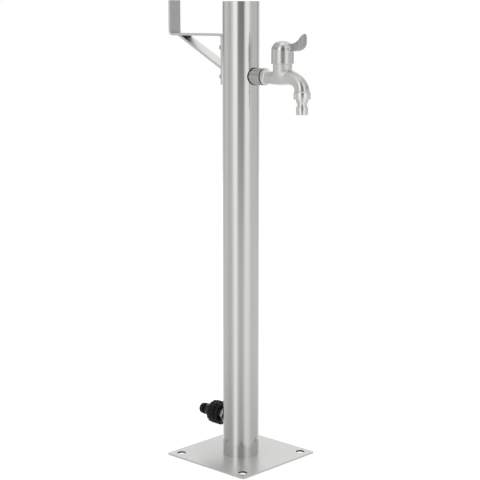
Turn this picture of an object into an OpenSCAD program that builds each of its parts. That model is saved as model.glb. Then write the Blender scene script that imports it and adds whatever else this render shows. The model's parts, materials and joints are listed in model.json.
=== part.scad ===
// Garden standpipe: steel column on a bolt-down plate, bib tap in front, hose hook and hose inlet behind.
// Millimetres. Origin at the centre of the plate's underside, +Z up, the tap points along +X.

/* [Base plate] */
// Side of the square base plate
plate_w = 175; // [110:1:300]
// Thickness of the base plate
plate_t = 2.5; // [1.5:0.5:8]
// Radius of the plate corners
plate_corner_r = 4; // [1:0.5:15]
// From the plate edge to the centre of an anchor hole
anchor_inset = 17; // [10:0.5:25]
// Diameter of the anchor holes
anchor_d = 14; // [6:0.5:18]

/* [Column] */
// Outside diameter of the column tube
column_d = 60; // [56:1:90]
// Wall of the column tube
column_wall = 1.5; // [1:0.1:3]
// Height of the column top above the ground
column_h = 750; // [500:5:1200]
// Thickness of the top cap
cap_t = 2; // [1:0.5:5]
// Depth of the skirt under the top cap
cap_skirt = 8; // [4:1:20]

/* [Hose hook] */
// Width of the flat bar
hook_w = 24; // [18:1:35]
// Thickness of the flat bar
hook_t = 4; // [3:0.5:6]
// Inside radius of the bends
hook_bend_r = 4; // [1:0.5:6]
// From the column top down to the top of the arm
hook_drop = 51; // [20:1:100]
// Clear length of the arm between column and stop
hook_reach = 121; // [90:1:220]
// Height of the stop above the arm
hook_stop_h = 54; // [20:1:100]
// Length of the leg below the top of the arm
hook_leg = 82; // [72:1:120]
// From the stop back to the outer end of the brace
brace_inset = 17; // [8:1:50]
// From the lower washer up to the foot of the brace
brace_clear = 6.5; // [1:0.5:12]
// From the top of the arm down to the upper bolt
bolt_upper_drop = 22.5; // [18:0.5:28]
// From the foot of the leg up to the lower bolt
bolt_lower_rise = 12.5; // [9:0.5:18]
// Diameter of the hook bolts
bolt_d = 6; // [5:0.5:9]

/* [Pipe joints] */
// From the column top down to the axis of the tap
tap_drop = 118; // [90:1:300]
// Height of the inlet axis above the ground
inlet_z = 61; // [45:1:150]
// Outside diameter of the half-inch pipe thread
thread_d = 20.8; // [19:0.1:22]
// Pitch of the half-inch pipe thread
thread_pitch = 1.8; // [1:0.1:2.5]
// Bore of the pipes
pipe_bore = 14; // [10:0.5:16]
// Size across the flats of the pipe nuts
nut_af = 25; // [24.5:0.5:30]
// Thickness of the nuts inside the column
backnut_t = 4; // [3:0.5:5]
// Thickness of the lock nut behind the column
locknut_t = 4.5; // [3:0.5:10]
// Thickness of the rubber seals at the inlet and inside the column
seal_t = 1.2; // [0.6:0.1:2.5]

/* [Tap] */
// Outside diameter of the wall socket
socket_d = 27; // [25:0.5:34]
// How far the socket stands out of the column
socket_l = 20.7; // [18:0.1:40]
// Thickness of the rubber saddle under the socket
tap_seal_t = 2; // [1:0.1:3]
// Depth of the thread inside the socket
socket_depth = 14.5; // [10:0.5:16]
// Thickness of the gasket between socket and tap
gasket_t = 2.2; // [0.8:0.1:3]
// From the face of the tap flange to the valve axis
valve_offset = 36.1; // [33:0.1:60]
// From the valve axis to the axis of the spout
spout_offset = 40.5; // [34:0.5:60]
// Thickness of the tap flange
flange_t = 2; // [2:0.5:8]
// Diameter of the tap neck behind the flange
neck_d = 19; // [16:0.2:20]
// Diameter of the tap body and spout
body_d = 21.2; // [19:0.2:24]
// Diameter of the valve barrel
barrel_d = 29; // [27:0.2:31]
// Height of the valve barrel above the tap axis
barrel_h = 26; // [24:0.5:30]
// Bend radius of the spout
spout_bend = 20; // [15:0.5:28]
// Length of the thread under the spout
spout_thread = 9; // [6:0.5:14]

/* [Lever handle] */
// Outside diameter of the domed handle
handle_d = 35.5; // [33.5:0.5:42]
// Height of the domed handle
handle_h = 35.5; // [34:0.5:48]
// Rounding radius of the dome
dome_r = 15; // [10:0.5:16.5]
// From the rim of the handle up to the lip of the barrel
handle_overlap = 4.5; // [2:0.1:8]
// Length of the lever beyond the side of the handle
lever_l = 28; // [24:0.5:45]
// Width of the lever
lever_w = 18; // [14:0.5:28]
// Width of the lever where it leaves the handle
lever_root_w = 9; // [6:0.5:13]
// From the start of the dome down to the underside of the lever
lever_sink = 0.8; // [0:0.1:4]
// Thickness of the lever at its root
lever_root_t = 12; // [8:0.2:13]
// From the side of the handle to where the lever begins to rise
lever_flat = 5.5; // [3:0.5:8]
// Height of the lever tip above the underside of the lever
lever_rise = 27.6; // [24:0.2:32]

/* [Hose nozzle] */
// Diameter of the nozzle collar
collar_d = 26.8; // [25:0.1:32]
// Floor of the collar under its washer
collar_floor = 1.5; // [1:0.1:4]
// Diameter of the nozzle end
nozzle_d = 18.8; // [15:0.1:21]
// Length of the nozzle below the collar
nozzle_l = 24; // [21:0.5:40]
// Bore of the nozzle
nozzle_bore = 12; // [8:0.5:12.5]

/* [Hose connector] */
// Bare thread between lock nut and connector
inlet_gap = 4.3; // [1:0.1:8]
// Outside diameter of the ribbed nut
connector_d = 39; // [34:0.5:46]
// Length of the ribbed nut
connector_l = 24.5; // [18:0.5:34]
// Number of grip ribs
rib_count = 16; // [8:1:20]
// From the rear face of the nut to its groove
groove_at = 6.2; // [2.5:0.1:9]
// Length of the thread that grips the inlet pipe
inlet_grip = 9; // [6:0.5:10]
// Length of the cone of the hose end
cone_l = 9; // [4:0.5:16]
// Diameter of the shoulder behind the nipple
shoulder_d = 20.6; // [19:0.2:24]
// Length of the shoulder and the hose nipple
nipple_l = 17; // [13:0.5:24]
// Diameter of the snap collar of the nipple
nipple_d = 19; // [17:0.1:20]

/* [Hidden] */
$fn = 96;

// Fits, each the clearance of one kind of joint
seat_gap = 0.05;
thread_fit = 0.1;
hole_gap = 0.4;
run_fit = 0.06;
slip_gap = 0.4;
weld_leg = 3;
washer_seal_t = 1.5;
cos30 = cos(30);
past = 1;

// Column and plate
column_r = column_d / 2;
inner_r = column_r - column_wall;
anchor_at = plate_w / 2 - anchor_inset;

// Hook
arm_top = column_h - hook_drop;
leg_in = column_r + seat_gap;
leg_out = leg_in + hook_t;
stop_in = column_r + hook_reach;
stop_out = stop_in + hook_t;
leg_foot = arm_top - hook_leg;
bend_out_r = hook_bend_r + hook_t;
bolt_r = bolt_d / 2;
bolt_hole_r = bolt_r + hole_gap / 2;
bolt_af = bolt_d * 1.625;
bolt_er = bolt_af / 2 / cos30;
bolt_head_t = bolt_d * 0.66;
bolt_seat = sqrt(inner_r * inner_r - bolt_er * bolt_er) - seat_gap;
bolt_low_z = leg_foot + bolt_lower_rise;
bolt_zs = [arm_top - bolt_upper_drop, bolt_low_z];
washer_t = 1.6;
washer_r = bolt_d;
nut_hex_h = bolt_d * 0.8;
nut_dome_r = bolt_af / 2 * 0.88;
nut_dome_z = nut_hex_h + bolt_d * 0.45;
nut_depth = bolt_d;
brace_top_x = stop_in - brace_inset;
brace_foot_z = bolt_low_z + washer_r + brace_clear;
brace_run = brace_top_x - leg_out;
brace_rise = arm_top - hook_t - brace_foot_z;
brace_tilt = atan2(brace_rise, brace_run);
brace_len = sqrt(brace_run * brace_run + brace_rise * brace_rise);

// Half-inch pipe joints
thread_r = thread_d / 2;
female_r = thread_r + thread_fit;
bore_r = pipe_bore / 2;
nut_er = nut_af / 2 / cos30;
nut_edge = 0.5;
nut_chamfer = 1.5;
nut_seat = sqrt(inner_r * inner_r - nut_er * nut_er) - nut_edge;
seal_in_r = thread_r + 0.3;
seal_lip = 0.5;
inner_seal_r = nut_af / 2;
thread_depth = 0.7;

// Elbows
elbow_r = thread_r + 2.6;
elbow_ball_r = elbow_r + 0.7;
elbow_reach = nut_seat - backnut_t - slip_gap;
elbow_leg = 26;
elbow_core = thread_r + 0.8;

// Tap
tap_z = column_h - tap_drop;
socket_r = socket_d / 2;
saddle_r = column_r + seat_gap + tap_seal_t;
socket_end = column_r + socket_l;
tail_l = socket_depth - 1.5;
flange_x = socket_end + gasket_t;
valve_x = flange_x + valve_offset;
spout_x = valve_x + spout_offset;
neck_r = neck_d / 2;
body_r = body_d / 2;
barrel_r = barrel_d / 2;
bell_x = flange_x + flange_t;
bell_l = 5;
bell_step = 2.4;
swell = 3;
bowl_z = tap_z + 8;
spout_z = tap_z - spout_bend;
bend_x = spout_x - spout_bend;
water_r = 6.4;
port_r = 3.8;
port_drop = port_r + 0.3;
rise_r = port_r + 0.5;
lip_z = tap_z + barrel_h;
chamber_r = 9.5;
chamber_z = tap_z + 1.5;
groove_r = 11;
groove_h = 9;
spout_lip_r = body_r + 1.2;
spout_lip_h = 4;

// Valve cartridge
disc_r = 7.4;
disc_t = 3;
disc_port_r = 1.8;
disc_port_at = 2.9;
seat_t = 2;
cavity_r = disc_r + slip_gap;
fixed_z = chamber_z + seat_t;
moving_z = fixed_z + disc_t;
driver_z = moving_z + disc_t;
driver_t = 3;
driver_r = disc_r - 0.2;
roof_z = driver_z + driver_t + slip_gap;
window_w = 5;
window_edge = 0.3;
cart_flange_r = 12.5;
cart_flange_t = 1.5;
cart_af = 22;
cart_hex_t = 5;
cart_hex_z = lip_z + cart_flange_t;
cart_neck_r = 6.6;
cart_neck_h = 5;
cart_top = cart_hex_z + cart_hex_t + cart_neck_h;
stem_r = 4;
stem_grip = 11.5;
o_ring_r = 0.9;
o_ring_z = roof_z + 6;

// Handle
handle_r = handle_d / 2;
handle_skirt = handle_h - dome_r;
handle_z = lip_z - handle_overlap;
handle_in_r = barrel_r + 0.9;
handle_roof = cart_top + slip_gap;
stem_top = handle_roof + stem_grip;
lever_z = handle_skirt - lever_sink;
lever_reach = handle_r + lever_l;
lever_under_r = 19.8;
lever_top_r = 21.2;
lever_bend_x = handle_r + lever_flat;
lever_end_r = 0.62 * lever_w;
lever_root_x = 8;
lever_tip_z = lever_z + lever_rise;
lever_cut_h = handle_h + lever_rise;
grub_r = 2;
grub_l = 8;
grub_socket_r = 1.15;
grub_socket_l = 2.5;
grub_z = handle_roof + stem_grip / 2;

// Hose nozzle
collar_r = collar_d / 2;
collar_h = spout_thread + washer_seal_t + collar_floor;
collar_chamfer = 1.2;
nozzle_r = nozzle_d / 2;
nozzle_top_r = nozzle_r + 0.4;
waist_r = nozzle_r - 1.6;
nozzle_bore_r = nozzle_bore / 2;
nozzle_land = 12.4;
nozzle_cone = 3;
nozzle_head = 4;
nozzle_edge = 0.6;
collar_z = spout_z - collar_h;
nozzle_z = collar_z - nozzle_l;
nozzle_seat = collar_z + collar_floor;

// Inlet and connector, measured outward along -X
seal_face = column_r + seal_t;
lock_out = seal_face + locknut_t;
nut_x = lock_out + inlet_gap;
nut_end = nut_x + connector_l;
stub_end = nut_x + inlet_grip;
nut_floor = stub_end + washer_seal_t;
nut_web = 1.5;
spigot_floor = nut_floor + nut_web;
spigot_x = spigot_floor + washer_seal_t;
nipple_end = nut_end + cone_l + nipple_l;
connector_r = connector_d / 2;
connector_chamfer = 3;
rib_depth = 2.3;
rib_scoop_r = 2.8;
groove_w = 2.4;
groove_depth = 3.2;
spigot_r = 13.2;
shoulder_r = shoulder_d / 2;
shoulder_drop = 0.4;
hose_bore_r = 4.5;
nipple_r = nipple_d / 2;
nipple_neck_r = nipple_r - 2.4;
tip_r = nipple_r - 1;
catch_l = 4.5;
snap_l = 5;
tip_l = 3.6;
snap_x = nipple_end - tip_l - snap_l;
o_groove = 1.1;
o_groove_depth = 1.6;
tip_ring_x = nipple_end - tip_l / 2;

// A child's +Z laid along +X at the given place
module along_x(x, z) {
    translate([x, 0, z])
        rotate([0, 90, 0])
            children();
}

// A child's +Z laid along -X at the given distance behind the axis
module along_back(x, z) {
    translate([-x, 0, z])
        rotate([0, -90, 0])
            children();
}

module ring(r_out, r_in, h) {
    difference() {
        cylinder(r = r_out, h = h);
        translate([0, 0, -1])
            cylinder(r = r_in, h = h + 2);
    }
}

module hex_ring(af, r_in, h) {
    difference() {
        rotate([0, 0, 30])
            cylinder(r = af / 2 / cos30, h = h, $fn = 6);
        translate([0, 0, -1])
            cylinder(r = r_in, h = h + 2);
    }
}

// Hexagon with its corners turned down on the free end
module chamfer_hex(af, r_in, h) {
    intersection() {
        hex_ring(af, r_in, h);
        union() {
            cylinder(r = af, h = h - nut_chamfer);
            translate([0, 0, h - nut_chamfer])
                cylinder(r1 = af / 2 / cos30 + 0.6, r2 = af / 2 - 0.4, h = nut_chamfer);
        }
    }
}

// Upright bar as big as the column, used to cut saddle ends
module column_bar(r, z, half) {
    translate([0, 0, z - half])
        cylinder(r = r, h = 2 * half);
}

module base_plate() {
    edge = plate_w / 2 - plate_corner_r;
    color("silver")
        difference() {
            linear_extrude(height = plate_t)
                union() {
                    square([plate_w - 2 * plate_corner_r, plate_w], center = true);
                    square([plate_w, plate_w - 2 * plate_corner_r], center = true);
                    for (sx = [-1, 1], sy = [-1, 1])
                        translate([sx * edge, sy * edge])
                            circle(r = plate_corner_r);
                }
            for (sx = [-1, 1], sy = [-1, 1])
                translate([sx * anchor_at, sy * anchor_at, -1])
                    cylinder(d = anchor_d, h = plate_t + 2);
        }
}

// Fillet weld that joins the tube to the plate from inside
module foot_weld_bead() {
    color("gray")
        translate([0, 0, plate_t])
            rotate_extrude()
                polygon([[inner_r - weld_leg, 0], [inner_r, 0], [inner_r, weld_leg]]);
}

module column_tube() {
    color("silver")
        difference() {
            translate([0, 0, plate_t])
                ring(column_r, inner_r, column_h - plate_t);
            along_x(0, tap_z)
                cylinder(r = thread_r + hole_gap, h = column_d);
            along_back(0, inlet_z)
                cylinder(r = thread_r + hole_gap, h = column_d);
            for (z = bolt_zs)
                along_back(0, z)
                    cylinder(r = bolt_hole_r, h = column_d);
        }
}

module top_cap() {
    skirt_r = inner_r - seat_gap;
    color("silver")
        translate([0, 0, column_h - cap_t])
            union() {
                cylinder(r = skirt_r, h = cap_t);
                translate([0, 0, -cap_skirt])
                    ring(skirt_r, skirt_r - cap_t, cap_skirt);
            }
}

module quarter_bend(r_out, r_in) {
    intersection() {
        difference() {
            circle(r = r_out);
            circle(r = r_in);
        }
        square(r_out);
    }
}

// Side view of the bent bar, outward distance to the left
module strap_outline() {
    arm_from = leg_out + hook_bend_r;
    arm_to = stop_in - hook_bend_r;
    union() {
        translate([-leg_out, leg_foot])
            square([hook_t, arm_top - bend_out_r - leg_foot]);
        translate([-arm_from, arm_top - bend_out_r])
            quarter_bend(bend_out_r, hook_bend_r);
        translate([-arm_to, arm_top - hook_t])
            square([arm_to - arm_from, hook_t]);
        translate([-arm_to, arm_top + hook_bend_r])
            rotate(180)
                quarter_bend(bend_out_r, hook_bend_r);
        translate([-stop_out, arm_top + hook_bend_r])
            square([hook_t, hook_stop_h - hook_bend_r]);
    }
}

module hook_strap() {
    color("silver")
        difference() {
            rotate([90, 0, 0])
                linear_extrude(height = hook_w, center = true)
                    strap_outline();
            for (z = bolt_zs)
                along_back(0, z)
                    cylinder(r = bolt_hole_r, h = leg_out + hook_t);
        }
}

// Welded diagonal, its ends cut flush with the leg and the arm
module hook_brace() {
    over = brace_len / 4;
    color("silver")
        intersection() {
            translate([-leg_out, 0, brace_foot_z])
                rotate([0, brace_tilt, 0])
                    translate([-brace_len - over, -hook_w / 2, 0])
                        cube([brace_len + 2 * over, hook_w, hook_t]);
            translate([-brace_top_x - over, -hook_w, leg_foot])
                cube([brace_run + over, 2 * hook_w, arm_top - hook_t - leg_foot]);
        }
}

module hook_bolts() {
    color("silver")
        for (z = bolt_zs)
            union() {
                along_back(bolt_seat - bolt_head_t, z)
                    rotate([0, 0, 30])
                        cylinder(r = bolt_er, h = bolt_head_t, $fn = 6);
                along_back(bolt_seat - past, z)
                    cylinder(r = bolt_r, h = leg_out + washer_t + nut_depth + past - bolt_seat);
            }
}

module hook_washers() {
    color("silver")
        for (z = bolt_zs)
            along_back(leg_out, z)
                ring(washer_r, bolt_hole_r, washer_t);
}

// Domed cap nuts over the bolt ends
module hook_cap_nuts() {
    color("silver")
        for (z = bolt_zs)
            along_back(leg_out + washer_t, z)
                difference() {
                    union() {
                        rotate([0, 0, 30])
                            cylinder(r = bolt_er, h = nut_hex_h, $fn = 6);
                        rotate_extrude()
                            union() {
                                square([nut_dome_r, nut_dome_z]);
                                translate([0, nut_dome_z])
                                    intersection() {
                                        circle(r = nut_dome_r);
                                        square(nut_dome_r);
                                    }
                            }
                    }
                    translate([0, 0, -past])
                        cylinder(r = bolt_r + thread_fit, h = nut_depth + slip_gap + past);
                }
}

// Rubber saddle between the column and the tap socket
module tap_saddle_seal() {
    color("black")
        difference() {
            intersection() {
                along_x(0, tap_z)
                    cylinder(r = socket_r + seal_lip, h = column_d);
                column_bar(saddle_r, tap_z, socket_d + 5);
            }
            column_bar(column_r + seat_gap, tap_z, socket_d + 10);
            along_x(0, tap_z)
                cylinder(r = seal_in_r, h = column_d);
        }
}

module tap_socket() {
    color("silver")
        difference() {
            union() {
                difference() {
                    along_x(inner_r / 2, tap_z)
                        cylinder(r = socket_r, h = socket_end - inner_r / 2);
                    column_bar(saddle_r + seat_gap, tap_z, socket_d);
                }
                along_x(elbow_core, tap_z)
                    cylinder(r = thread_r, h = socket_end - socket_depth - elbow_core);
            }
            along_x(elbow_core - 1, tap_z)
                cylinder(r = bore_r, h = socket_end);
            along_x(socket_end - socket_depth, tap_z)
                cylinder(r = female_r, h = socket_depth + 1);
        }
}

// Rubber saddle between the inside of the column and a back nut
module inner_saddle(z) {
    difference() {
        intersection() {
            along_x(nut_seat, z)
                cylinder(r = inner_seal_r, h = column_r);
            column_bar(inner_r - seat_gap, z, nut_af);
        }
        along_x(nut_seat - 1, z)
            cylinder(r = seal_in_r, h = column_r);
    }
}

module tap_inner_seal() {
    color("black")
        inner_saddle(tap_z);
}

module tap_backnut() {
    color("goldenrod")
        along_x(nut_seat - backnut_t, tap_z)
            hex_ring(nut_af, female_r, backnut_t);
}

module tap_flange_gasket() {
    color("black")
        along_x(socket_end, tap_z)
            ring(socket_r - 0.1, seal_in_r, gasket_t);
}

// Outside of the cast tap, without its passages
module tap_casting() {
    bell_end = bell_x + bell_l;
    swell_x = valve_x - barrel_r + swell;
    union() {
        along_x(flange_x - tail_l, tap_z)
            cylinder(r = thread_r, h = tail_l);
        along_x(flange_x, tap_z)
            cylinder(r = socket_r, h = flange_t);
        along_x(bell_x, tap_z)
            cylinder(r1 = socket_r - bell_step, r2 = neck_r, h = bell_l);
        along_x(bell_end, tap_z)
            cylinder(r1 = neck_r, r2 = body_r, h = swell_x - bell_end);
        along_x(swell_x, tap_z)
            cylinder(r = body_r, h = bend_x - swell_x);
        translate([valve_x, 0, bowl_z])
            rotate_extrude()
                union() {
                    intersection() {
                        circle(r = barrel_r);
                        translate([0, -barrel_r])
                            square(barrel_r);
                    }
                    square([barrel_r, lip_z - bowl_z]);
                }
        translate([bend_x, 0, spout_z])
            rotate([90, 0, 0])
                rotate_extrude(angle = 90)
                    translate([spout_bend, 0])
                        circle(r = body_r);
        translate([spout_x, 0, spout_z])
            cylinder(r = spout_lip_r, h = spout_lip_h);
        translate([spout_x, 0, spout_z - spout_thread])
            cylinder(r = thread_r, h = spout_thread);
    }
}

module tap_body() {
    color("silver")
        difference() {
            tap_casting();
            along_x(flange_x - tail_l - past, tap_z)
                cylinder(r = water_r, h = flange_t + tail_l + 3 * past);
            along_x(bell_x - port_r, tap_z - port_drop)
                cylinder(r = port_r, h = valve_x - bell_x + port_r);
            translate([valve_x, 0, tap_z - port_drop])
                cylinder(r = rise_r, h = port_drop + 2 * past);
            translate([valve_x, 0, chamber_z])
                cylinder(r = chamber_r, h = lip_z - chamber_z + past);
            translate([valve_x, 0, chamber_z + past])
                cylinder(r = groove_r, h = groove_h);
            along_x(valve_x + port_r, tap_z + port_r)
                cylinder(r = port_r, h = bend_x - valve_x - port_r + past);
            translate([bend_x, 0, spout_z])
                rotate([90, 0, 0])
                    rotate_extrude(angle = 90)
                        translate([spout_bend, 0])
                            circle(r = water_r);
            translate([spout_x, 0, spout_z - spout_thread - past])
                cylinder(r = water_r, h = spout_thread + past);
        }
}

// Brass headwork screwed into the barrel
module cartridge_body() {
    across = 4 * chamber_r;
    color("goldenrod")
        translate([valve_x, 0, 0])
            difference() {
                union() {
                    translate([0, 0, chamber_z])
                        cylinder(r = chamber_r - thread_fit, h = lip_z - chamber_z);
                    translate([0, 0, lip_z])
                        cylinder(r = cart_flange_r, h = cart_flange_t);
                    translate([0, 0, cart_hex_z])
                        cylinder(r = cart_af / 2 / cos30, h = cart_hex_t, $fn = 6);
                    translate([0, 0, cart_hex_z + cart_hex_t])
                        cylinder(r = cart_neck_r, h = cart_neck_h);
                }
                translate([0, 0, chamber_z - past])
                    cylinder(r = cavity_r, h = roof_z - chamber_z + past);
                translate([0, 0, chamber_z])
                    cylinder(r = stem_r + run_fit, h = cart_top - chamber_z + past);
                translate([0, 0, o_ring_z - o_ring_r])
                    cylinder(r = stem_r + 2 * o_ring_r, h = 2 * o_ring_r);
                translate([-across / 2, -window_w / 2, moving_z + window_edge])
                    cube([across, window_w, disc_t - 2 * window_edge]);
            }
}

module cartridge_seat_seal() {
    color("black")
        translate([valve_x, 0, chamber_z])
            ring(disc_r, port_r, seat_t);
}

// Ceramic disc with two quarter windows
module valve_disc(z) {
    translate([valve_x, 0, z])
        difference() {
            cylinder(r = disc_r, h = disc_t);
            for (a = [0, 180])
                rotate([0, 0, a])
                    translate([disc_port_at, 0, -past])
                        cylinder(r = disc_port_r, h = disc_t + 2 * past);
        }
}

module fixed_disc() {
    color("white")
        valve_disc(fixed_z);
}

module moving_disc() {
    color("white")
        valve_disc(moving_z);
}

module valve_stem() {
    color("goldenrod")
        translate([valve_x, 0, 0])
            union() {
                translate([0, 0, driver_z])
                    cylinder(r = driver_r, h = driver_t);
                translate([0, 0, driver_z])
                    cylinder(r = stem_r, h = stem_top - driver_z);
            }
}

module stem_o_ring() {
    color("black")
        translate([valve_x, 0, o_ring_z])
            rotate_extrude()
                translate([stem_r + run_fit + o_ring_r * 0.9, 0])
                    circle(r = o_ring_r * 0.88);
}

// Side view of the up-turned lever, measured from the valve axis and the handle rim
module lever_side() {
    under_x = lever_reach - lever_under_r;
    difference() {
        union() {
            translate([lever_root_x, lever_z])
                square([under_x - lever_root_x, lever_rise]);
            intersection() {
                translate([under_x, lever_z + lever_under_r])
                    circle(r = lever_under_r);
                translate([under_x - past, lever_z - past])
                    square([lever_under_r + 2 * past, lever_under_r + past]);
            }
            translate([under_x, lever_z + lever_under_r - past])
                square([lever_under_r, lever_rise - lever_under_r + past]);
        }
        translate([lever_bend_x - lever_reach, lever_z + lever_root_t])
            square([lever_reach + past, lever_cut_h]);
        translate([lever_bend_x, lever_z + lever_root_t + lever_top_r])
            circle(r = lever_top_r);
    }
}

module lever_plan() {
    half = lever_w / 2;
    root_half = lever_root_w / 2;
    wide_x = lever_reach - lever_end_r;
    intersection() {
        translate([0, -half])
            square([lever_reach, lever_w]);
        union() {
            polygon([[0, -root_half], [handle_r, -root_half], [wide_x, -half],
                [wide_x, half], [handle_r, root_half], [0, root_half]]);
            translate([wide_x, 0])
                circle(r = lever_end_r);
        }
    }
}

// Front view of the lever: its tip is a half round
module lever_front() {
    half = lever_w / 2;
    union() {
        translate([-half, 0])
            square([lever_w, lever_tip_z - half]);
        translate([0, lever_tip_z - half])
            circle(r = half);
    }
}

module handle_dome() {
    rotate_extrude()
        union() {
            square([handle_r, handle_skirt]);
            square([handle_r - dome_r, handle_h]);
            intersection() {
                translate([handle_r - dome_r, handle_skirt])
                    circle(r = dome_r);
                translate([handle_r - dome_r, handle_skirt])
                    square(dome_r);
            }
        }
}

module lever_handle() {
    color("silver")
        translate([valve_x, 0, handle_z])
            difference() {
                union() {
                    handle_dome();
                    intersection() {
                        rotate([90, 0, 0])
                            linear_extrude(height = 2 * lever_w, center = true)
                                lever_side();
                        linear_extrude(height = lever_cut_h)
                            lever_plan();
                        rotate([90, 0, 90])
                            linear_extrude(height = lever_reach + past)
                                lever_front();
                    }
                }
                translate([0, 0, -1])
                    cylinder(r = handle_in_r, h = handle_roof - handle_z + 1);
                cylinder(r = stem_r + seat_gap, h = stem_top - handle_z + slip_gap);
                translate([0, 0, grub_z - handle_z])
                    rotate([0, -90, 0])
                        cylinder(r = grub_r + thread_fit, h = handle_d);
            }
}

module handle_grub_screw() {
    color("dimgray")
        translate([valve_x, 0, grub_z])
            rotate([0, -90, 0])
                translate([0, 0, stem_r + seat_gap])
                    difference() {
                        cylinder(r = grub_r, h = grub_l);
                        translate([0, 0, grub_l - grub_socket_l])
                            cylinder(r = grub_socket_r, h = grub_socket_l + past, $fn = 6);
                    }
}

module outlet_washer() {
    color("black")
        translate([spout_x, 0, nozzle_seat])
            ring(thread_r - 0.1, nozzle_bore_r, washer_seal_t);
}

// Side view of the turned nozzle, measured up from its lower end
module nozzle_profile() {
    land = nozzle_land;
    edge = nozzle_edge;
    top = nozzle_l + collar_h;
    head = nozzle_l - nozzle_head;
    cone = head - nozzle_cone;
    polygon([[0, 0], [nozzle_r - edge, 0], [nozzle_r, edge], [nozzle_r, land - edge], [nozzle_r - edge, land],
        [waist_r, land + edge], [waist_r, cone], [nozzle_top_r, head], [nozzle_top_r, nozzle_l],
        [collar_r - edge, nozzle_l], [collar_r, nozzle_l + edge], [collar_r, top - 1.5 * collar_chamfer],
        [collar_r - collar_chamfer, top], [0, top]]);
}

module outlet_nozzle() {
    color("silver")
        translate([spout_x, 0, nozzle_z])
            difference() {
                rotate_extrude()
                    nozzle_profile();
                translate([0, 0, -past])
                    cylinder(r = nozzle_bore_r, h = nozzle_l + collar_h);
                translate([0, 0, nozzle_seat - nozzle_z])
                    cylinder(r = female_r, h = collar_h);
            }
}

// Elbow with one leg along +X and one leg along -Z
module elbow() {
    difference() {
        union() {
            sphere(r = elbow_ball_r);
            rotate([0, 90, 0])
                cylinder(r = elbow_r, h = elbow_reach);
            translate([0, 0, -elbow_leg])
                cylinder(r = elbow_r, h = elbow_leg);
        }
        rotate([0, 90, 0])
            cylinder(r = bore_r, h = elbow_reach + 1);
        translate([0, 0, -elbow_leg - 1])
            cylinder(r = bore_r, h = elbow_leg + 1);
        sphere(r = bore_r + slip_gap);
        rotate([0, 90, 0])
            translate([0, 0, elbow_core - slip_gap])
                cylinder(r = female_r, h = elbow_reach);
        translate([0, 0, -elbow_leg - 1])
            cylinder(r = female_r, h = elbow_leg + 1 - elbow_core);
    }
}

module upper_elbow() {
    color("goldenrod")
        translate([0, 0, tap_z])
            elbow();
}

module riser_pipe() {
    bottom = inlet_z + elbow_core + slip_gap;
    color("gray")
        translate([0, 0, bottom])
            ring(thread_r, bore_r, tap_z - elbow_core - slip_gap - bottom);
}

module lower_elbow() {
    color("goldenrod")
        translate([0, 0, inlet_z])
            rotate([0, 180, 0])
                elbow();
}

// Threaded pipe through the rear of the column, its thread cut in rings
module inlet_stub() {
    first = lock_out + slip_gap / 2;
    teeth = floor((stub_end - first) / thread_pitch);
    edge = thread_pitch * 0.05;
    color("goldenrod")
        difference() {
            along_back(elbow_core, inlet_z)
                cylinder(r = thread_r, h = stub_end - elbow_core);
            along_back(elbow_core - past, inlet_z)
                cylinder(r = bore_r, h = stub_end);
            for (i = [0 : teeth - 1])
                along_back(first + i * thread_pitch, inlet_z)
                    rotate_extrude()
                        polygon([[thread_r - thread_depth, thread_pitch / 2], [thread_r + past, edge],
                            [thread_r + past, thread_pitch - edge]]);
        }
}

module inlet_inner_seal() {
    color("black")
        mirror([1, 0, 0])
            inner_saddle(inlet_z);
}

module inlet_backnut() {
    color("goldenrod")
        along_back(nut_seat - backnut_t, inlet_z)
            hex_ring(nut_af, female_r, backnut_t);
}

module inlet_outer_seal() {
    color("black")
        difference() {
            along_back(inner_r / 2, inlet_z)
                cylinder(r = inner_seal_r, h = seal_face - inner_r / 2);
            column_bar(column_r + seat_gap, inlet_z, nut_af);
            along_back(0, inlet_z)
                cylinder(r = seal_in_r, h = column_d);
        }
}

module inlet_locknut() {
    color("silver")
        along_back(seal_face, inlet_z)
            chamfer_hex(nut_af, female_r, locknut_t);
}

module stub_washer() {
    color("black")
        along_back(stub_end, inlet_z)
            ring(thread_r - 0.1, bore_r, washer_seal_t);
}

// Round outline with scoops between the grip ribs
module rib_outline() {
    difference() {
        circle(r = connector_r);
        for (i = [0 : rib_count - 1])
            rotate((i + 0.5) * 360 / rib_count)
                translate([connector_r + rib_scoop_r - rib_depth, 0])
                    circle(r = rib_scoop_r);
    }
}

// Ribbed nut that joins the threaded pipe to the hose end
module connector_nut() {
    full = connector_l - connector_chamfer;
    color("black")
        along_back(nut_x, inlet_z)
            difference() {
                intersection() {
                    linear_extrude(height = connector_l)
                        rib_outline();
                    union() {
                        cylinder(r = connector_r + past, h = full);
                        translate([0, 0, full])
                            cylinder(r1 = connector_r + slip_gap, r2 = connector_r - connector_chamfer, h = connector_chamfer);
                    }
                }
                translate([0, 0, groove_at])
                    ring(connector_r + past, connector_r - groove_depth, groove_w);
                translate([0, 0, -past])
                    cylinder(r = female_r, h = nut_floor - nut_x + past);
                cylinder(r = bore_r, h = connector_l);
                translate([0, 0, spigot_floor - nut_x])
                    cylinder(r = spigot_r + thread_fit, h = connector_l);
            }
}

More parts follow.
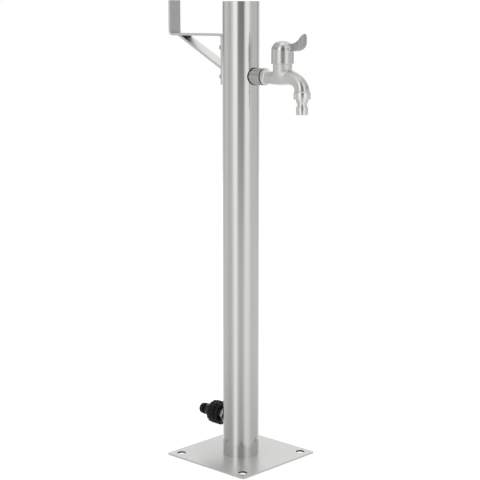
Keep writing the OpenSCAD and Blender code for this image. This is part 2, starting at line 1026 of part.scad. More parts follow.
// Side view of cone, shoulder and hose nipple, measured from the ribbed nut
module nipple_profile() {
    snap_from = snap_x - nut_end;
    snap_to = snap_from + snap_l;
    ring_at = tip_ring_x - nut_end;
    end = nipple_end - nut_end;
    floor_r = tip_r - o_groove_depth;
    polygon([[0, 0], [spigot_r, 0], [shoulder_r, cone_l], [shoulder_r - shoulder_drop, snap_from - catch_l],
        [nipple_neck_r, snap_from - catch_l], [nipple_neck_r, snap_from - nozzle_edge], [nipple_r, snap_from],
        [nipple_r, snap_to - past], [tip_r, snap_to], [tip_r, ring_at - o_groove],
        [floor_r, ring_at - o_groove], [floor_r, ring_at + o_groove], [tip_r, ring_at + o_groove],
        [tip_r, end - nozzle_edge], [tip_r - nozzle_edge, end], [0, end]]);
}

// Hose end: spigot in the nut, cone, shoulder and nipple
module hose_end() {
    color("black")
        difference() {
            union() {
                along_back(spigot_x, inlet_z)
                    cylinder(r = spigot_r, h = nut_end - spigot_x);
                along_back(nut_end, inlet_z)
                    rotate_extrude()
                        nipple_profile();
            }
            along_back(spigot_x - past, inlet_z)
                cylinder(r = hose_bore_r, h = nipple_end);
        }
}

module connector_washer() {
    color("black")
        along_back(spigot_floor, inlet_z)
            ring(spigot_r - slip_gap / 2, bore_r, washer_seal_t);
}

module nipple_o_ring() {
    color("black")
        along_back(tip_ring_x, inlet_z)
            rotate_extrude()
                translate([tip_r - o_groove_depth / 2 + slip_gap / 2, 0])
                    circle(r = o_ring_r);
}

base_plate();
foot_weld_bead();
column_tube();
top_cap();
hook_strap();
hook_brace();
hook_bolts();
hook_washers();
hook_cap_nuts();
tap_saddle_seal();
tap_socket();
tap_inner_seal();
tap_backnut();
tap_flange_gasket();
tap_body();
cartridge_body();
cartridge_seat_seal();
fixed_disc();
moving_disc();
valve_stem();
stem_o_ring();
lever_handle();
handle_grub_screw();
outlet_washer();
outlet_nozzle();
upper_elbow();
riser_pipe();
lower_elbow();
inlet_stub();
inlet_inner_seal();
inlet_backnut();
inlet_outer_seal();
inlet_locknut();
stub_washer();
connector_nut();
hose_end();
connector_washer();
nipple_o_ring();
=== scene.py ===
import json
import math

import bpy
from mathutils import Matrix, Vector


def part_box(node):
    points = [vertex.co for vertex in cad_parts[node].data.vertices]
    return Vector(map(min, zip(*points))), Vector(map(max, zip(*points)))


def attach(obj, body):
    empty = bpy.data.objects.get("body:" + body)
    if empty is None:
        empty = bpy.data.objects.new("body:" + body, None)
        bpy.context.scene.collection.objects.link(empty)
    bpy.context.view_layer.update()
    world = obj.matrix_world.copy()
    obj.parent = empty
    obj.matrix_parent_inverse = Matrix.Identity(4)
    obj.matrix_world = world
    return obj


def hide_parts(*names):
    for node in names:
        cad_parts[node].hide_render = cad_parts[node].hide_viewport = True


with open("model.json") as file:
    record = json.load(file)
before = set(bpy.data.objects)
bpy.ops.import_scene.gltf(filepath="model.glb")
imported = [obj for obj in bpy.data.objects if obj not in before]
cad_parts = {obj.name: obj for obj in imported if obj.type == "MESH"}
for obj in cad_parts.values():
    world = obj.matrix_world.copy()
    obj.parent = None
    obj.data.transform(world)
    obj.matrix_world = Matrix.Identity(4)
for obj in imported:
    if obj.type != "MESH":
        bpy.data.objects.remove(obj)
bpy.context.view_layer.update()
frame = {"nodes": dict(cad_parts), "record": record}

mm = 0.001
behaviour = frame["record"]["behaviour"]

# The body that carries each solid, and the place that each joint turns about
carrier = {node: body for body, nodes in behaviour["bodies"].items() for node in nodes}
pivot = {joint["name"]: joint["pos_m"] for joint in behaviour["joints"] if "pos_m" in joint}


def span(node, axis):
    """Where a solid begins and ends along an axis, to the micrometre."""
    return [round(corner["xyz".index(axis)], 6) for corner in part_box(node)]


# Places taken from the solids, in metres
valve_x = pivot["lever_turn"][0]
spout_x = pivot["nozzle_turn"][0]
nozzle_z, spout_end_z = span("outlet_nozzle", "z")
barrel_lip_z = span("tap_body", "z")[1]
flange_x = span("tap_flange_gasket", "x")[1]
tap_axis_z = sum(span("tap_socket", "z")) / 2

# Camera, worked out from points of the photograph
photo_px = 480
focal_px = 1291.5
sensor_mm = 36
camera_shift = -0.0445
camera_at = (1.4287, -1.5176, 0.7280)
camera_turn = math.radians(133.314)
camera_dip = math.radians(-8.948)

# Strips of light and shade in the studio: degrees round from the camera's side, and brightness
level_strips = [
    (-180, 1.0), (-152, 0.95), (-136, 0.42), (-126, 0.46), (-116, 0.72), (-103, 0.74), (-92, 0.68),
    (-76, 0.56), (-68, 0.60), (-56, 0.80), (-44, 1.15), (-28, 1.22), (-23, 0.92), (-19, 0.40),
    (-14, 0.25), (12, 0.20), (18, 0.26), (24, 0.80), (29, 1.05), (38, 1.12), (48, 1.05), (56, 0.72),
    (70, 0.64), (112, 0.63), (126, 0.42), (136, 0.46), (152, 0.95), (180, 1.0)]
low_strips = [
    (-180, 1.0), (-152, 0.95), (-136, 0.66), (-116, 0.70), (-92, 0.66), (-72, 0.59), (-58, 0.68),
    (-44, 0.94), (-33, 1.12), (-26, 1.0), (-17, 0.70), (0, 0.60), (13, 0.66), (24, 0.92), (44, 0.98),
    (58, 0.80), (72, 0.70), (112, 0.72), (134, 0.66), (152, 0.95), (180, 1.0)]
foot_strips = [
    (-180, 1.0), (-152, 0.95), (-136, 0.50), (-116, 0.42), (-92, 0.36), (-72, 0.32), (-58, 0.40),
    (-44, 0.80), (-33, 1.05), (-26, 0.85), (-17, 0.42), (0, 0.32), (13, 0.38), (24, 0.70), (44, 0.78),
    (58, 0.62), (72, 0.54), (112, 0.54), (134, 0.56), (152, 0.95), (180, 1.0)]
high_strips = [
    (-180, 1.0), (-152, 0.90), (-136, 0.46), (-116, 0.56), (-76, 0.56), (-58, 0.56), (-47, 0.90),
    (-41, 1.45), (-31, 1.40), (-23, 0.80), (-15, 0.26), (14, 0.22), (24, 0.70), (32, 1.05), (44, 1.05),
    (58, 0.78), (72, 0.66), (112, 0.60), (134, 0.54), (152, 1.0), (180, 1.0)]
brow_strips = [
    (-180, 1.0), (-152, 0.90), (-136, 0.38), (-116, 0.34), (-76, 0.32), (-58, 0.38), (-47, 1.0),
    (-41, 2.2), (-31, 2.1), (-23, 0.70), (-15, 0.12), (14, 0.10), (24, 0.55), (32, 1.1), (44, 1.1),
    (58, 0.60), (72, 0.40), (112, 0.40), (134, 0.48), (152, 1.0), (180, 1.0)]

# The turn that brings the strips round to the camera
room_turn = math.radians(46.69)

# Where the strips change over: a height is a direction's upward part, from -1 to 1
below_blend = (0.0, -0.2)
above_blend = (0.03, 0.25)
foot_belt = (-0.43, -0.36, -0.335, -0.27)
brow_belt = (0.23, 0.29, 0.39, 0.46)
ceiling_blend = (0.75, 0.95)
ceiling_rise = (0.9, 0.99)
ceiling_levels = (0.6, 1.2)

# Floor, in metres, with the light that it reflects and what the camera sees it give off
floor_radius = 4
floor_sides = 96
floor_z = -0.4 * mm
floor_white = 0.9
floor_lift = 0.3

# Darkest and lightest tone of each finish
column_tones = (0.63, 0.625, 0.61, 1), (0.77, 0.765, 0.75, 1)
plate_tones = (0.61, 0.615, 0.595, 1), (0.70, 0.705, 0.685, 1)
# Lighter tones than the hook's flat bar, for the diagonal strut of the same steel: painted light
brace_painted_light_tones = (0.70, 0.70, 0.68, 1), (0.82, 0.82, 0.80, 1)
bar_tones = (0.47, 0.47, 0.46, 1), (0.58, 0.58, 0.57, 1)
# Lighter tones for the flat bar's edges: painted highlight
bar_edge_painted_highlight_tones = (0.72, 0.72, 0.70, 1), (0.84, 0.84, 0.82, 1)
socket_tones = (0.53, 0.52, 0.50, 1), (0.66, 0.65, 0.63, 1)
fastener_tones = (0.62, 0.62, 0.61, 1), (0.76, 0.76, 0.75, 1)
tap_tones = (0.62, 0.615, 0.595, 1), (0.76, 0.755, 0.735, 1)
body_satin_tones = (0.72, 0.715, 0.695, 1), (0.86, 0.855, 0.835, 1)
# The lever tongue's darker tones are painted shade for its underside
lever_painted_shade_tones = (0.46, 0.46, 0.45, 1), (0.55, 0.55, 0.54, 1)
nozzle_tones = (0.73, 0.725, 0.705, 1), (0.86, 0.855, 0.835, 1)
# Near-black tones for the plate's anchor-hole walls: painted shade in the holes
hole_painted_shade_tones = (0.004, 0.004, 0.004, 1), (0.012, 0.012, 0.011, 1)
rubber_tones = (0.006, 0.006, 0.006, 1), (0.016, 0.016, 0.0155, 1)
plastic_tones = (0.002, 0.002, 0.0021, 1), (0.006, 0.006, 0.0062, 1)
brass_tones = (0.58, 0.42, 0.19, 1), (0.80, 0.63, 0.33, 1)
ceramic_tones = (0.80, 0.78, 0.73, 1), (0.90, 0.88, 0.84, 1)

# The tap's polish, and where it fades along X: polished place, faded place, added roughness, faded tones. The
# body fades to a rougher sheen; the lever fades to darker tones, which are painted shade.
tap_polish = 0.22
body_fade = (valve_x + 52 * mm, valve_x + 26 * mm, 0.22, body_satin_tones)
lever_fade_to_painted_shade = (valve_x + 17 * mm, valve_x + 25 * mm, 0.28, lever_painted_shade_tones)

# Bands of ground steel, as shares of the cells that its lines have across and along the grain
band_across = 0.12
band_along = 0.5

# Sockets of a Mix node that mixes colours
mix_first, mix_second, mix_result = 6, 7, 2

# Eased edges: steps of each round, and the angle from which an edge counts as sharp
ease_steps = 3
sharp_angle = math.radians(35)

# Corners of new and of copied meshes that are one within this distance, and faces that are flat
same_place = 0.001 * mm
same_corner = 0.002 * mm
flat_angle = math.radians(0.3)

# Arcs at the corners of turned profiles: steps, and the largest share of a side that one may take
arc_steps = 4
arc_share = 0.45

# Smoothing of the tap casting: grid in millimetres, rounds, and their loss of a round bar's squared radius
soft_grid = 0.8
soft_rounds = 110
soft_loss = soft_rounds * soft_grid ** 2 / 4

# Smoothing of the lever: grid in millimetres and rounds, then rounds for what lies past a place
lever_grid = 0.5
lever_rounds = 8
tongue_rounds, tongue_x, tongue_z = 40, valve_x + 15 * mm, barrel_lip_z + 13 * mm
root_rounds, root_x, root_z = 20, valve_x + 11 * mm, barrel_lip_z + 12 * mm

# Faces picked for a second material, by their place and by a part of their normal: painted shade in the
# plate's holes, painted highlight along the flat bar's edges
hole_reach = span("base_plate", "x")[1] - 7.5 * mm
hole_tilt = 0.9
edge_tilt = 0.35


# Shader maths

class Shade:
    """A socket of a node tree: sums and products of sockets add their own Math nodes."""

    def __init__(self, tree, socket=None):
        self.tree, self.socket = tree, socket

    def node(self, kind, settings, inputs, output=0):
        made = self.tree.nodes.new(kind)
        for key, value in settings.items():
            if key == "stops":
                stops = made.color_ramp.elements
                while len(stops) > 1:
                    stops.remove(stops[-1])
                stops[0].position, stops[0].color = value[0]
                for place, colour in value[1:]:
                    stops.new(place).color = colour
            else:
                setattr(made, key, value)
        for key, value in inputs.items():
            if isinstance(value, Shade):
                self.tree.links.new(value.socket, made.inputs[key])
            else:
                made.inputs[key].default_value = value
        return Shade(self.tree, made.outputs[output])

    def maths(self, operation, first, second):
        return self.node("ShaderNodeMath", {"operation": operation}, {0: first, 1: second})

    def __add__(self, other):
        return self.maths("ADD", self, other)

    def __mul__(self, other):
        return self.maths("MULTIPLY", self, other)

    __radd__ = __add__
    __rmul__ = __mul__


def grey(level):
    return (level, level, level, 1)


def mixed(amount, first, second):
    """Runs from a first colour to a second as the amount goes from 0 to 1."""
    inputs = {"Factor": amount, mix_first: first, mix_second: second}
    return amount.node("ShaderNodeMix", {"data_type": "RGBA"}, inputs, mix_result)


def ramped(value, begin, end, shape="LINEAR", low=0.0, high=1.0):
    """Runs from low to high as the value goes from begin to end."""
    inputs = {"Value": value, "From Min": begin, "From Max": end, "To Min": low, "To Max": high}
    return value.node("ShaderNodeMapRange", {"interpolation_type": shape}, inputs)


# Camera and studio

def place_camera():
    lens = bpy.data.cameras.new("camera")
    lens.sensor_width = sensor_mm
    lens.lens = focal_px / photo_px * sensor_mm
    lens.shift_y = camera_shift
    camera = bpy.data.objects.new("camera", lens)
    bpy.context.scene.collection.objects.link(camera)
    level = math.cos(camera_dip)
    ahead = Vector((level * math.cos(camera_turn), level * math.sin(camera_turn), math.sin(camera_dip)))
    camera.location = camera_at
    camera.rotation_mode = "QUATERNION"
    camera.rotation_quaternion = ahead.to_track_quat("-Z", "Y")
    bpy.context.scene.camera = camera


def light_studio():
    """White to the camera; reflections see a room with soft upright strips of light and shade."""
    world = bpy.data.worlds.new("studio")
    bpy.context.scene.world = world
    world.use_nodes = True
    tree = world.node_tree
    tree.nodes.clear()
    start = Shade(tree)
    way = start.node("ShaderNodeTexCoord", {}, {}, "Generated")
    inputs = {"Vector": way, "Angle": room_turn}
    faced = start.node("ShaderNodeVectorRotate", {"rotation_type": "Z_AXIS"}, inputs)
    across, side, height = (
        start.node("ShaderNodeSeparateXYZ", {}, {"Vector": faced}, axis) for axis in ("X", "Y", "Z"))
    bearing = start.maths("ARCTAN2", side, across) * (0.5 / math.pi) + 0.5

    def strips(levels):
        stops = [(degrees / 360 + 0.5, grey(level)) for degrees, level in levels]
        return start.node("ShaderNodeValToRGB", {"stops": stops}, {"Fac": bearing})

    def belt(heights, outside, inside):
        """Changes to other strips between two heights and back again."""
        bottom, low, high, top = heights
        return mixed(ramped(height, bottom, low) * ramped(height, top, high), outside, inside)

    sunk = belt(foot_belt, strips(low_strips), strips(foot_strips))
    raised = belt(brow_belt, strips(high_strips), strips(brow_strips))
    lower = mixed(ramped(height, *below_blend), strips(level_strips), sunk)
    around = mixed(ramped(height, *above_blend), lower, raised)
    over = ramped(height, *ceiling_blend, "SMOOTHSTEP")
    ceiling = ramped(height, *ceiling_rise, "SMOOTHSTEP", *ceiling_levels)
    room = mixed(over, around, ceiling)
    rays = start.node("ShaderNodeLightPath", {}, {}, "Is Glossy Ray")
    glow = start.node("ShaderNodeBackground", {}, {"Color": mixed(rays, grey(1.0), room), "Strength": 1.0})
    tree.links.new(glow.socket, tree.nodes.new("ShaderNodeOutputWorld").inputs["Surface"])


def lay_floor():
    """A white floor that takes the object's shade; reflections don't see it."""
    clear_selection()
    bpy.ops.mesh.primitive_circle_add(vertices=floor_sides, radius=floor_radius, fill_type="NGON",
                                      location=(0, 0, floor_z))
    floor = bpy.context.object
    floor.name = "floor"
    bpy.ops.object.transform_apply(location=True, rotation=True, scale=True)
    finish = bpy.data.materials.new("floor_white")
    finish.use_nodes = True
    tree = finish.node_tree
    tree.nodes.clear()
    start = Shade(tree)
    matt = start.node("ShaderNodeBsdfDiffuse", {}, {"Color": grey(floor_white)})
    rays = start.node("ShaderNodeLightPath", {}, {}, "Is Camera Ray")
    lift = start.node("ShaderNodeEmission", {}, {"Color": grey(1.0), "Strength": rays * floor_lift})
    both = start.node("ShaderNodeAddShader", {}, {0: matt, 1: lift})
    tree.links.new(both.socket, tree.nodes.new("ShaderNodeOutputMaterial").inputs["Surface"])
    floor.data.materials.append(finish)
    floor.visible_glossy = False


# Finishes

def new_finish(name, **constants):
    finish = bpy.data.materials.new(name)
    finish.use_nodes = True
    surface = finish.node_tree.nodes["Principled BSDF"]
    for key, value in constants.items():
        surface.inputs[key.replace("_", " ")].default_value = value
    place = Shade(finish.node_tree).node("ShaderNodeTexCoord", {}, {}, "Object")
    return finish, surface, place


def feed(surface, socket, value):
    value.tree.links.new(value.socket, surface.inputs[socket])


def raise_grain(surface, pattern, relief, depth):
    """Lets a pattern stand out from the surface a little."""
    inputs = {"Strength": relief, "Distance": depth, "Height": pattern}
    feed(surface, "Normal", pattern.node("ShaderNodeBump", {}, inputs))


def cloud(place, cells, detail, rough=0.55):
    """A soft irregular pattern with some number of cells per metre along each axis."""
    stretched = place.node("ShaderNodeMapping", {}, {"Vector": place, "Scale": cells})
    inputs = {"Vector": stretched, "Scale": 1.0, "Detail": detail, "Roughness": rough}
    return place.node("ShaderNodeTexNoise", {}, inputs)


def evenly(cells):
    return (cells, cells, cells)


def brushed(grain_axis, across, along):
    """Cells per metre of a pattern that is drawn out along one axis."""
    return tuple(along if axis == grain_axis else across for axis in "xyz")


def varied(middle, *patterns):
    """A value that strays from its middle with each (pattern, amount)."""
    value = middle - sum(amount for pattern, amount in patterns) / 2
    for pattern, amount in patterns:
        value = pattern * amount + value
    return value


def ground_steel(name, grain_axis, across, along, polish, relief, tones, metal=1.0):
    """Steel ground in one direction: fine lines, broader bands and faint handling marks."""
    finish, surface, place = new_finish(name, Metallic=metal)
    lines = cloud(place, brushed(grain_axis, across, along), detail=3.0, rough=0.6)
    bands = cloud(place, brushed(grain_axis, across * band_across, along * band_along), detail=2.0)
    marks = cloud(place, evenly(28), detail=5.0, rough=0.6)
    feed(surface, "Base Color", mixed(varied(0.5, (lines, 0.45), (bands, 0.35), (marks, 0.2)), *tones))
    feed(surface, "Roughness", varied(polish, (lines, 0.07), (bands, 0.06), (marks, 0.05)))
    raise_grain(surface, lines, relief, depth=0.03 * mm)
    return finish


def cast_steel(name, polish, tones, fade=None):
    """Cast and tumbled steel: a soft even sheen with fine grain, which may fade along X to other tones and
    more roughness; the lever's darker fade is painted shade.
    """
    finish, surface, place = new_finish(name, Metallic=1.0)
    grain = cloud(place, evenly(900), detail=2.0)
    drift = cloud(place, evenly(60), detail=3.0)
    spread = varied(0.5, (grain, 0.4), (drift, 0.6))
    colour = mixed(spread, *tones)
    rough = varied(polish, (grain, 0.06), (drift, 0.08))
    if fade:
        polished_x, full_fade_x, rougher, faded_tones = fade
        along = place.node("ShaderNodeSeparateXYZ", {}, {"Vector": place}, "X")
        faded = ramped(along, polished_x, full_fade_x, "SMOOTHSTEP")
        colour = mixed(faded, colour, mixed(spread, *faded_tones))
        rough = rough + faded * rougher
    feed(surface, "Base Color", colour)
    feed(surface, "Roughness", rough)
    raise_grain(surface, grain, relief=0.08, depth=0.05 * mm)
    return finish


def moulded_black(name, polish, gloss, tones):
    """Moulded black plastic or rubber with a fine texture and faint scuffs; it also gives the painted shade
    in the plate's holes.
    """
    finish, surface, place = new_finish(name, Specular_IOR_Level=gloss)
    grain = cloud(place, evenly(1500), detail=2.0)
    scuff = cloud(place, evenly(120), detail=5.0, rough=0.65)
    feed(surface, "Base Color", mixed(varied(0.5, (grain, 0.3), (scuff, 0.7)), *tones))
    feed(surface, "Roughness", varied(polish, (grain, 0.1), (scuff, 0.2)))
    raise_grain(surface, grain, relief=0.15, depth=0.06 * mm)
    return finish


def machined_brass(name, polish, tones):
    finish, surface, place = new_finish(name, Metallic=1.0)
    cuts = cloud(place, evenly(700), detail=2.0)
    drift = cloud(place, evenly(90), detail=3.0)
    feed(surface, "Base Color", mixed(varied(0.5, (cuts, 0.4), (drift, 0.6)), *tones))
    feed(surface, "Roughness", varied(polish, (cuts, 0.1), (drift, 0.1)))
    return finish


def fired_ceramic(name, polish, tones):
    finish, surface, place = new_finish(name, Specular_IOR_Level=0.5)
    fleck = cloud(place, evenly(800), detail=2.0)
    feed(surface, "Base Color", mixed(fleck, *tones))
    feed(surface, "Roughness", varied(polish, (fleck, 0.08)))
    return finish


# Modelling

def clear_selection():
    if bpy.context.object and bpy.context.object.mode != "OBJECT":
        bpy.ops.object.mode_set(mode="OBJECT")
    bpy.ops.object.select_all(action="DESELECT")


def focus(piece):
    clear_selection()
    piece.select_set(True)
    bpy.context.view_layer.objects.active = piece


def edit(piece, action):
    """Opens a mesh for editing with all of it selected, or none of it."""
    focus(piece)
    bpy.ops.object.mode_set(mode="EDIT")
    bpy.ops.mesh.select_all(action=action)


def modify(piece, kind, **settings):
    focus(piece)
    bpy.ops.object.modifier_add(type=kind)
    modifier = piece.modifiers[-1]
    for key, value in settings.items():
        setattr(modifier, key, value)
    bpy.ops.object.modifier_apply(modifier=modifier.name)


def smooth(piece, angle=30):
    focus(piece)
    bpy.ops.object.shade_smooth_by_angle(angle=math.radians(angle))


def outward(piece):
    edit(piece, "SELECT")
    bpy.ops.mesh.remove_doubles(threshold=same_place)
    bpy.ops.mesh.normals_make_consistent(inside=False)
    bpy.ops.object.mode_set(mode="OBJECT")


def merged_copy(node, name):
    """A separate copy of a solid's mesh, its loose triangles joined and its flats made whole."""
    mesh = frame["nodes"][node].data.copy()
    mesh.name = name
    mesh.materials.clear()
    piece = bpy.data.objects.new(name, mesh)
    bpy.context.scene.collection.objects.link(piece)
    edit(piece, "SELECT")
    bpy.ops.mesh.remove_doubles(threshold=same_corner)
    bpy.ops.mesh.dissolve_limited(angle_limit=flat_angle)
    bpy.ops.object.mode_set(mode="OBJECT")
    return piece


def eased(node, name, edge):
    """The solid with a small round along every sharp edge."""
    piece = merged_copy(node, name)
    modify(piece, "BEVEL", width=edge, segments=ease_steps, limit_method="ANGLE", angle_limit=sharp_angle,
           use_clamp_overlap=True)
    smooth(piece)
    modify(piece, "WEIGHTED_NORMAL", keep_sharp=True)
    return piece


def turned(name, start, way, profile, sides=64):
    """Turns a round bar: a disc pushed along its axis and drawn in or out at each (distance, radius)."""
    way = Vector(way)
    clear_selection()
    first, radius = profile[0]
    at = Vector(start) + way * first
    bpy.ops.mesh.primitive_circle_add(vertices=sides, radius=radius, fill_type="NGON", location=at,
                                      rotation=way.to_track_quat("Z", "Y").to_euler())
    piece = bpy.context.object
    piece.name = piece.data.name = name
    bpy.ops.object.transform_apply(location=True, rotation=True, scale=True)
    edit(piece, "SELECT")
    for far, wide in profile[1:]:
        step = Vector(start) + way * far - at
        at = at + step
        bpy.ops.mesh.extrude_region_move(TRANSFORM_OT_translate={"value": step})
        if wide != radius:
            bpy.ops.transform.resize(value=(wide / radius,) * 3, center_override=at)
        radius = wide
    bpy.ops.object.mode_set(mode="OBJECT")
    outward(piece)
    return piece


def swept(name, stations, sides):
    """Draws an oval along a line in the XZ plane.

    A station is (x, z, slope in degrees, half height, half width).
    """
    x, z, slope, high, wide = stations[0]
    clear_selection()
    bpy.ops.mesh.primitive_circle_add(vertices=sides, radius=high, fill_type="NGON", location=(x, 0, z),
                                      rotation=(0, math.radians(90 - slope), 0))
    piece = bpy.context.object
    piece.name = piece.data.name = name
    bpy.ops.object.transform_apply(location=True, rotation=True, scale=True)
    edit(piece, "SELECT")
    bpy.ops.transform.resize(value=(1, wide / high, 1), center_override=(x, 0, z))
    for next_x, next_z, next_slope, next_high, next_wide in stations[1:]:
        bpy.ops.mesh.extrude_region_move(TRANSFORM_OT_translate={"value": (next_x - x, 0, next_z - z)})
        here = (next_x, 0, next_z)
        turn = math.radians(next_slope - slope)
        bpy.ops.transform.rotate(value=turn, orient_axis="Y", center_override=here)
        taller, wider = next_high / high, next_wide / wide
        bpy.ops.transform.resize(value=(taller, wider, taller), center_override=here)
        x, z, slope, high, wide = next_x, next_z, next_slope, next_high, next_wide
    bpy.ops.object.mode_set(mode="OBJECT")
    outward(piece)
    return piece


def joined(name, pieces):
    clear_selection()
    for piece in pieces:
        piece.select_set(True)
    bpy.context.view_layer.objects.active = pieces[0]
    bpy.ops.object.join()
    pieces[0].name = pieces[0].data.name = name
    return pieces[0]


def trim(piece, point, normal):
    """Cuts off what lies beyond a plane and closes the cut."""
    edit(piece, "SELECT")
    bpy.ops.mesh.bisect(plane_co=point, plane_no=normal, use_fill=True, clear_outer=True)
    bpy.ops.object.mode_set(mode="OBJECT")


def soften(piece, rounds, low_x, low_z):
    """Smooths the corners that lie past an X and above a height, and leaves the others crisp."""
    edit(piece, "DESELECT")
    bpy.ops.mesh.select_mode(type="VERT")
    bpy.ops.object.mode_set(mode="OBJECT")
    for corner in piece.data.vertices:
        corner.select = corner.co.x > low_x and corner.co.z > low_z
    bpy.ops.object.mode_set(mode="EDIT")
    bpy.ops.mesh.vertices_smooth(factor=0.5, repeat=rounds)
    bpy.ops.object.mode_set(mode="OBJECT")


def open_ends(piece):
    """Takes away the many-sided faces that close a turned piece."""
    edit(piece, "DESELECT")
    bpy.ops.object.mode_set(mode="OBJECT")
    for face in piece.data.polygons:
        face.select = len(face.vertices) > 4
    bpy.ops.object.mode_set(mode="EDIT")
    bpy.ops.mesh.delete(type="FACE")
    bpy.ops.object.mode_set(mode="OBJECT")


def stands_for(piece, finish, slot, *nodes):
    piece.data.materials.clear()
    piece.data.materials.append(finish)
    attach(piece, carrier[nodes[0]])
    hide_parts(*nodes)


def second_finish(piece, finish, chosen):
    """Gives some faces of a piece another material: the painted shade in the plate's holes and the painted
    highlight on the flat bar's edges.
    """
    piece.data.materials.append(finish)
    for face in piece.data.polygons:
        if chosen(face):
            face.material_index = 1


def rounded_steps(corners, ease):
    """Replaces each inner corner of a turned profile by a short arc."""
    steps = [corners[0]]
    for before, corner, after in zip(corners, corners[1:], corners[2:]):
        corner = Vector(corner)
        back, ahead = Vector(before) - corner, Vector(after) - corner
        cut = min(ease, back.length * arc_share, ahead.length * arc_share)
        first, last = corner + back.normalized() * cut, corner + ahead.normalized() * cut
        for i in range(arc_steps + 1):
            share = i / arc_steps
            rest = 1 - share
            steps.append(tuple(first * rest ** 2 + corner * 2 * share * rest + last * share ** 2))
    return steps + [corners[-1]]


def scaled(profile):
    return [(far * mm, wide * mm) for far, wide in profile]


# Tap, with outlines in millimetres

def before_smoothing(radius):
    """Smoothing draws a round bar in; this is the radius that it has to start from, in metres."""
    return math.sqrt(radius ** 2 + soft_loss) * mm


def spout_bend(start_x, half_x, half_z):
    """Stations of a quarter of an ellipse down to the spout's end, with a shoulder first and a flare last."""
    steps, shoulder_steps, flare_from = 24, 8, 12
    pipe_r, shoulder_high, shoulder_wide = 10.0, 0.8, 1.2
    flare_most, flare_power = 1.2, 1.5
    stations = []
    for step in range(steps + 1):
        around = math.radians(90 - step * 90 / steps)
        slope = -math.degrees(math.atan2(half_z * math.cos(around), half_x * math.sin(around)))
        shoulder = max(0.0, 1 - step / shoulder_steps)
        flare = flare_most * max(0.0, (step - flare_from) / (steps - flare_from)) ** flare_power
        x = start_x + half_x * math.cos(around)
        z = spout_end_z / mm + half_z * math.sin(around)
        high = pipe_r + shoulder_high * shoulder + flare
        wide = pipe_r + shoulder_wide * shoulder + flare
        stations.append((x, z, slope, high, wide))
    return stations


def make_spout_thread():
    """Ring ridges under the spout, with a bore."""
    root_r, crest_r, bore_r = 9.8, 10.4, 6.4
    first, pitch, teeth = 1.0, 1.8, 4
    profile = [(0, 11.3)]
    for tooth in range(teeth):
        at = first + tooth * pitch
        profile += [(at, crest_r), (at + pitch / 3, root_r), (at + pitch * 2 / 3, crest_r)]
    profile += [(8.6, 10.2), (9.0, 9.6), (9.0, bore_r), (2.0, 6.3)]
    return turned("spout_thread", (spout_x, 0, spout_end_z), (0, 0, -1), scaled(profile), sides=72)


def make_flange():
    """Stepped flange that meets the gasket."""
    corners = [(0, 6.4), (0, 13.4), (0.8, 13.4), (1.6, 12.5), (2.6, 11.4), (3.8, 10.6), (5.4, 10.0),
               (7.5, 9.6), (10, 9.1)]
    profile = scaled(rounded_steps(corners, ease=0.5))
    return turned("flange", (flange_x, 0, tap_axis_z), (1, 0, 0), profile, sides=96)


def make_tap_casting(finish):
    """Smooth casting: neck, valve barrel and flared spout run into one another."""
    middle_x, middle_z = valve_x / mm, tap_axis_z / mm

    # Rise from the tap's axis, and radius
    barrel_steps = [(-5, 9.0), (-2, 11.8), (2, 13.6), (6, 14.4), (10, 14.5), (40, 14.5)]
    barrel = turned("barrel", (valve_x, 0, 0), (0, 0, 1), [
        ((middle_z + rise) * mm, before_smoothing(radius)) for rise, radius in barrel_steps])

    # Distance from the valve's axis, rise from the tap's axis, half height and half width
    neck_steps = [(-43, -0.2, 9.6, 9.6), (-32, -0.4, 9.5, 9.5), (-29, -0.6, 9.4, 9.4), (-26, -0.8, 9.4, 9.5),
                  (-22, -0.9, 9.6, 9.9), (-18, -0.9, 9.9, 10.5), (-14, -0.8, 10.2, 11.2),
                  (-9, -0.6, 10.6, 12.0), (-4, -0.4, 10.9, 12.5), (1, -0.1, 11.1, 12.5), (7, 0.3, 11.1, 11.9)]
    neck = [(middle_x + along, middle_z + rise, 0, high, wide) for along, rise, high, wide in neck_steps]
    bend_x, bend_half_x, bend_half_z = middle_x + 12, 28.3, 20.8
    end_x, end_r = bend_x + bend_half_x, 11.3
    past_end = [(end_x, spout_end_z / mm - below, -90, end_r, end_r) for below in (6, 14)]
    run = neck + spout_bend(bend_x, bend_half_x, bend_half_z) + past_end
    pipe = swept("neck_and_spout", [
        (x * mm, z * mm, slope, before_smoothing(high), before_smoothing(wide))
        for x, z, slope, high, wide in run], sides=64)

    body = joined("tap_casting", [pipe, barrel])
    modify(body, "REMESH", mode="VOXEL", voxel_size=soft_grid * mm)
    modify(body, "SMOOTH", factor=0.5, iterations=soft_rounds)
    lip_gap, flange_overlap = 0.6 * mm, 3.4 * mm
    trim(body, (spout_x, 0, spout_end_z), (0, 0, -1))
    trim(body, (valve_x, 0, barrel_lip_z - lip_gap), (0, 0, 1))
    trim(body, (flange_x + flange_overlap, 0, tap_axis_z), (-1, 0, 0))

    flange = make_flange()
    thread = make_spout_thread()
    smooth(flange, angle=35)
    smooth(thread, angle=25)
    smooth(body, angle=50)
    casting = joined("tap_casting", [body, flange, thread])
    stands_for(casting, finish, "tap_steel", "tap_body")


def make_lever_handle(finish):
    """The domed handle and its tongue as one casting with soft edges."""
    piece = merged_copy("lever_handle", "lever_casting")
    modify(piece, "REMESH", mode="VOXEL", voxel_size=lever_grid * mm)
    modify(piece, "SMOOTH", factor=0.5, iterations=lever_rounds)
    soften(piece, tongue_rounds, tongue_x, tongue_z)
    soften(piece, root_rounds, root_x, root_z)
    smooth(piece, angle=50)
    stands_for(piece, finish, "tap_steel", "lever_handle")


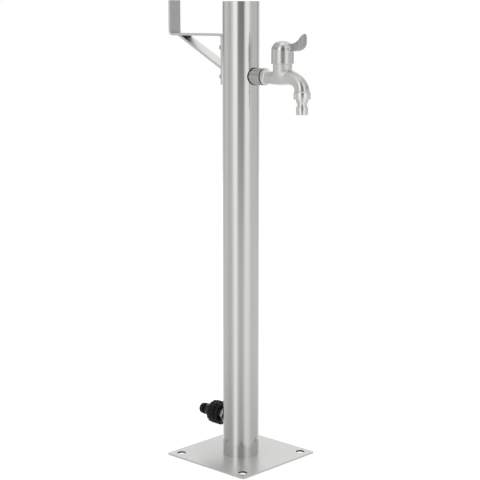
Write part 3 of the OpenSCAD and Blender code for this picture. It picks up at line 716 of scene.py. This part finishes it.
def make_hose_nozzle(finish):
    """Turned nozzle: collar above, stepped hose end below."""
    bore_r, thread_r = 6.0, 10.5
    # The bore stops a hair above the first ring, so that no two rings share a place
    seam = 0.02
    corners = [(0, bore_r), (0, 9.4), (12.4, 9.4), (13.2, 7.8), (17.0, 7.8), (20.0, 9.8), (24.0, 9.8),
               (24.0, 13.4), (34.4, 13.4), (36.0, 12.2), (36.0, thread_r)]
    bore = [(25.5, thread_r), (25.5, bore_r), (seam, bore_r)]
    profile = scaled(rounded_steps(corners, ease=0.5) + bore)
    piece = turned("hose_nozzle", (spout_x, 0, nozzle_z), (0, 0, 1), profile, sides=96)
    open_ends(piece)
    outward(piece)
    smooth(piece)
    stands_for(piece, finish, "tap_steel", "outlet_nozzle")


# The object

def in_a_hole(face):
    """A face of the plate's anchor holes, which lie inside its own edges; these faces get painted shade."""
    return abs(face.normal.z) < hole_tilt and max(map(abs, face.center[:2])) < hole_reach


def on_an_edge(face):
    """A face along the edge of the hook's flat bar; these faces get a painted highlight."""
    return abs(face.normal.y) > edge_tilt


def dress_solids():
    """Gives every solid its finish, and makes the pieces that stand for those that show."""
    column = ground_steel("column_ground_steel", "z", 2200, 9, polish=0.15, relief=0.08, tones=column_tones)
    plate = ground_steel("plate_ground_steel", "x", 1600, 9, polish=0.32, relief=0.02, tones=plate_tones,
                         metal=0.65)
    # The diagonal strut's lighter tones are painted light
    brace_painted_light = ground_steel("brace_steel_painted_light", "x", 1800, 14, polish=0.3, relief=0.06, tones=brace_painted_light_tones)
    bar = ground_steel("bar_ground_steel", "x", 1800, 14, polish=0.26, relief=0.06, tones=bar_tones)
    # Lighter tones for the flat bar's edges: painted highlight
    bar_edge_painted_highlight = ground_steel("bar_edge_steel_painted_highlight", "x", 900, 14, polish=0.3, relief=0.06, tones=bar_edge_painted_highlight_tones)
    socket = cast_steel("socket_steel", polish=0.3, tones=socket_tones)
    bright = cast_steel("fastener_steel", polish=0.2, tones=fastener_tones)
    tap = cast_steel("tap_satin_steel", tap_polish, tap_tones)
    body = cast_steel("tap_body_steel", tap_polish, tap_tones, body_fade)
    # The lever's tongue fades to darker tones: painted shade
    lever = cast_steel("lever_steel_painted_shade", tap_polish, tap_tones, lever_fade_to_painted_shade)
    nozzle = cast_steel("nozzle_polished_steel", polish=0.12, tones=nozzle_tones)
    # Near-black material for the plate's anchor-hole walls: painted shade in the holes
    cut = moulded_black("hole_wall_painted_shade", polish=0.7, gloss=0.1, tones=hole_painted_shade_tones)
    rubber = moulded_black("seal_rubber", polish=0.6, gloss=0.2, tones=rubber_tones)
    plastic = moulded_black("connector_plastic", polish=0.3, gloss=0.3, tones=plastic_tones)
    brass = machined_brass("machined_brass", polish=0.28, tones=brass_tones)
    ceramic = fired_ceramic("disc_ceramic", polish=0.18, tones=ceramic_tones)

    slot_finish = {"column_steel": column, "bright_steel": bright, "tap_steel": tap, "brass": brass,
                   "rubber": rubber, "black_plastic": plastic, "ceramic": ceramic}
    slot_of = {part["node"]: part["material_slot"] for part in frame["record"]["subparts"]}
    for node, solid in frame["nodes"].items():
        solid.data.materials.clear()
        solid.data.materials.append(slot_finish[slot_of[node]])

    # Node, round along its edges in millimetres, finish
    for node, edge, finish in (
            ("base_plate", 0.4, plate), ("column_tube", 0.25, column), ("top_cap", 0.3, column),
            ("hook_strap", 0.5, bar), ("hook_brace", 0.45, brace_painted_light), ("hook_washers", 0.25, bright),
            ("hook_cap_nuts", 0.3, bright), ("tap_saddle_seal", 0.25, rubber), ("tap_socket", 0.5, socket),
            ("tap_flange_gasket", 0.3, rubber), ("inlet_outer_seal", 0.25, rubber),
            ("inlet_locknut", 0.3, bright), ("inlet_stub", 0.1, bright), ("connector_nut", 0.45, plastic),
            ("hose_end", 0.4, plastic)):
        piece = eased(node, node + "_eased", edge * mm)
        slot = "bright_steel" if finish is bright else slot_of[node]
        stands_for(piece, finish, slot, node)
        if node == "base_plate":
            # Painted shade on the walls of the anchor holes
            second_finish(piece, cut, in_a_hole)
        if node in ("hook_strap", "hook_brace"):
            # Painted highlight on the flat bar's edges
            second_finish(piece, bar_edge_painted_highlight, on_an_edge)

    make_tap_casting(body)
    make_lever_handle(lever)
    make_hose_nozzle(nozzle)


bpy.context.scene.view_settings.view_transform = "Standard"
place_camera()
light_studio()
lay_floor()
dress_solids()
